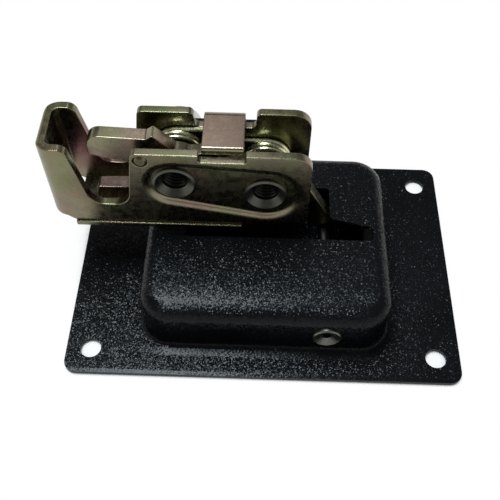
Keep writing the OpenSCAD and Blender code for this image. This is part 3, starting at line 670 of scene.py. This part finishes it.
turn = Matrix.Rotation(CAMERA_YAW, 3, "Z")
ahead = turn @ Vector((0, math.cos(CAMERA_PITCH), -math.sin(CAMERA_PITCH)))
level = turn @ Vector((1, 0, 0))
down = ahead.cross(level)
across = math.cos(CAMERA_ROLL) * level + math.sin(CAMERA_ROLL) * down
down = -math.sin(CAMERA_ROLL) * level + math.cos(CAMERA_ROLL) * down
lens = bpy.data.cameras.new("camera")
lens.sensor_width = SENSOR
lens.lens = FOCAL_PIXELS / IMAGE_PIXELS * SENSOR
lens.clip_start = 10 * MM
camera = bpy.data.objects.new("camera", lens)
camera.matrix_world = Matrix((
    (across.x, -down.x, -ahead.x, CAMERA_PLACE.x),
    (across.y, -down.y, -ahead.y, CAMERA_PLACE.y),
    (across.z, -down.z, -ahead.z, CAMERA_PLACE.z),
    (0, 0, 0, 1)))
bpy.context.scene.collection.objects.link(camera)
bpy.context.scene.camera = camera


# Floor and lamps

OPEN_REACH = 40 * MM
OPEN_SAMPLES = 8
SHADED, OPEN = 0.4, 0.75


def white_seen(tree, shaded):
    """Mixes a shader with plain white where the camera, a reflection or glass sees it in the open."""
    path = tree.nodes.new("ShaderNodeLightPath")
    openness = tree.nodes.new("ShaderNodeAmbientOcclusion")
    openness.samples = OPEN_SAMPLES
    openness.inputs["Distance"].default_value = OPEN_REACH
    seen = reckon(tree, "MAXIMUM", path.outputs["Is Camera Ray"], path.outputs["Is Glossy Ray"],
                  path.outputs["Is Transmission Ray"])
    share = reckon(tree, "MULTIPLY", seen, span(tree, openness.outputs["AO"], 0.0, 1.0, SHADED, OPEN))
    glow = tree.nodes.new("ShaderNodeEmission")
    glow.inputs["Color"].default_value = (1, 1, 1, 1)
    mix = tree.nodes.new("ShaderNodeMixShader")
    tree.links.new(share, mix.inputs[0])
    tree.links.new(shaded, mix.inputs[1])
    tree.links.new(glow.outputs[0], mix.inputs[2])
    return mix.outputs[0]


FLOOR_REACH = 3.0
FLOOR_Z = -0.5 * MM
WALL_HEIGHT = 1.0
WALL_FOOT_R = 0.6
WALL_FOOT_STEPS = 16
FLOOR_SIDES = 96
FLOOR_GREY = 0.9
FLOOR_MATT = 0.9


def studio_floor():
    """A pale round floor that keeps the shadow, with a low wall all round, far off."""
    shape = bmesh.new()
    bmesh.ops.create_circle(shape, cap_ends=True, segments=FLOOR_SIDES, radius=FLOOR_REACH)
    bmesh.ops.translate(shape, verts=shape.verts, vec=(0, 0, FLOOR_Z))
    rim = [e for e in shape.edges if e.is_boundary]
    made = bmesh.ops.extrude_edge_only(shape, edges=rim)
    top = [v for v in made["geom"] if isinstance(v, bmesh.types.BMVert)]
    bmesh.ops.translate(shape, verts=top, vec=(0, 0, WALL_HEIGHT))
    bmesh.ops.bevel(shape, geom=rim, offset=WALL_FOOT_R, offset_type="OFFSET", segments=WALL_FOOT_STEPS,
                    profile=0.5, affect="EDGES", clamp_overlap=True, material=-1)
    mesh = bpy.data.meshes.new("floor")
    shape.to_mesh(mesh)
    shape.free()
    floor = bpy.data.objects.new("floor", mesh)
    bpy.context.scene.collection.objects.link(floor)
    finish, tree, shader = new_finish("pale_floor")
    shader.inputs["Base Color"].default_value = (FLOOR_GREY, FLOOR_GREY, FLOOR_GREY, 1)
    shader.inputs["Roughness"].default_value = FLOOR_MATT
    out = tree.nodes["Material Output"]
    tree.links.new(white_seen(tree, shader.outputs[0]), out.inputs["Surface"])
    mesh.materials.append(finish)


studio_floor()

BLUE_WHITE = (0.84, 0.94, 1.0)
ROOM_GREY = (0.22, 0.22, 0.23, 1)


def softbox(name, place, aim, size, power, colour=(1.0, 1.0, 1.0)):
    """A large soft lamp aimed at a point, in metres and watts."""
    lamp = bpy.data.lights.new(name, "AREA")
    lamp.color = colour
    lamp.shape = "RECTANGLE"
    lamp.size, lamp.size_y = size
    lamp.energy = power
    holder = bpy.data.objects.new(name, lamp)
    holder.location = place
    holder.rotation_euler = (Vector(aim) - Vector(place)).to_track_quat("-Z", "Y").to_euler()
    bpy.context.scene.collection.objects.link(holder)


softbox("key_left", (-0.42, 0.10, 0.36), (-0.02, 0, 0.03), (0.16, 0.16), 0.27)
softbox("top_back", (-0.09, 0.22, 0.548), (-0.02, -0.02, 0.02), (0.26, 0.06), 0.25, BLUE_WHITE)
softbox("far_back", (-0.08, 0.41, 0.49), (-0.014, 0.005, 0.054), (0.12, 0.10), 0.06)
softbox("overhead", (-0.12, 0.06, 0.60), (-0.02, -0.02, 0.02), (0.26, 0.16), 3.2, BLUE_WHITE)
softbox("front_right", (0.30, -0.35, 0.30), (-0.02, 0, 0.03), (0.20, 0.20), 0.08)

world = bpy.data.worlds.new("studio")
bpy.context.scene.world = world
world.use_nodes = True
world.node_tree.nodes["Background"].inputs["Color"].default_value = ROOM_GREY
bpy.context.scene.view_settings.view_transform = "Standard"
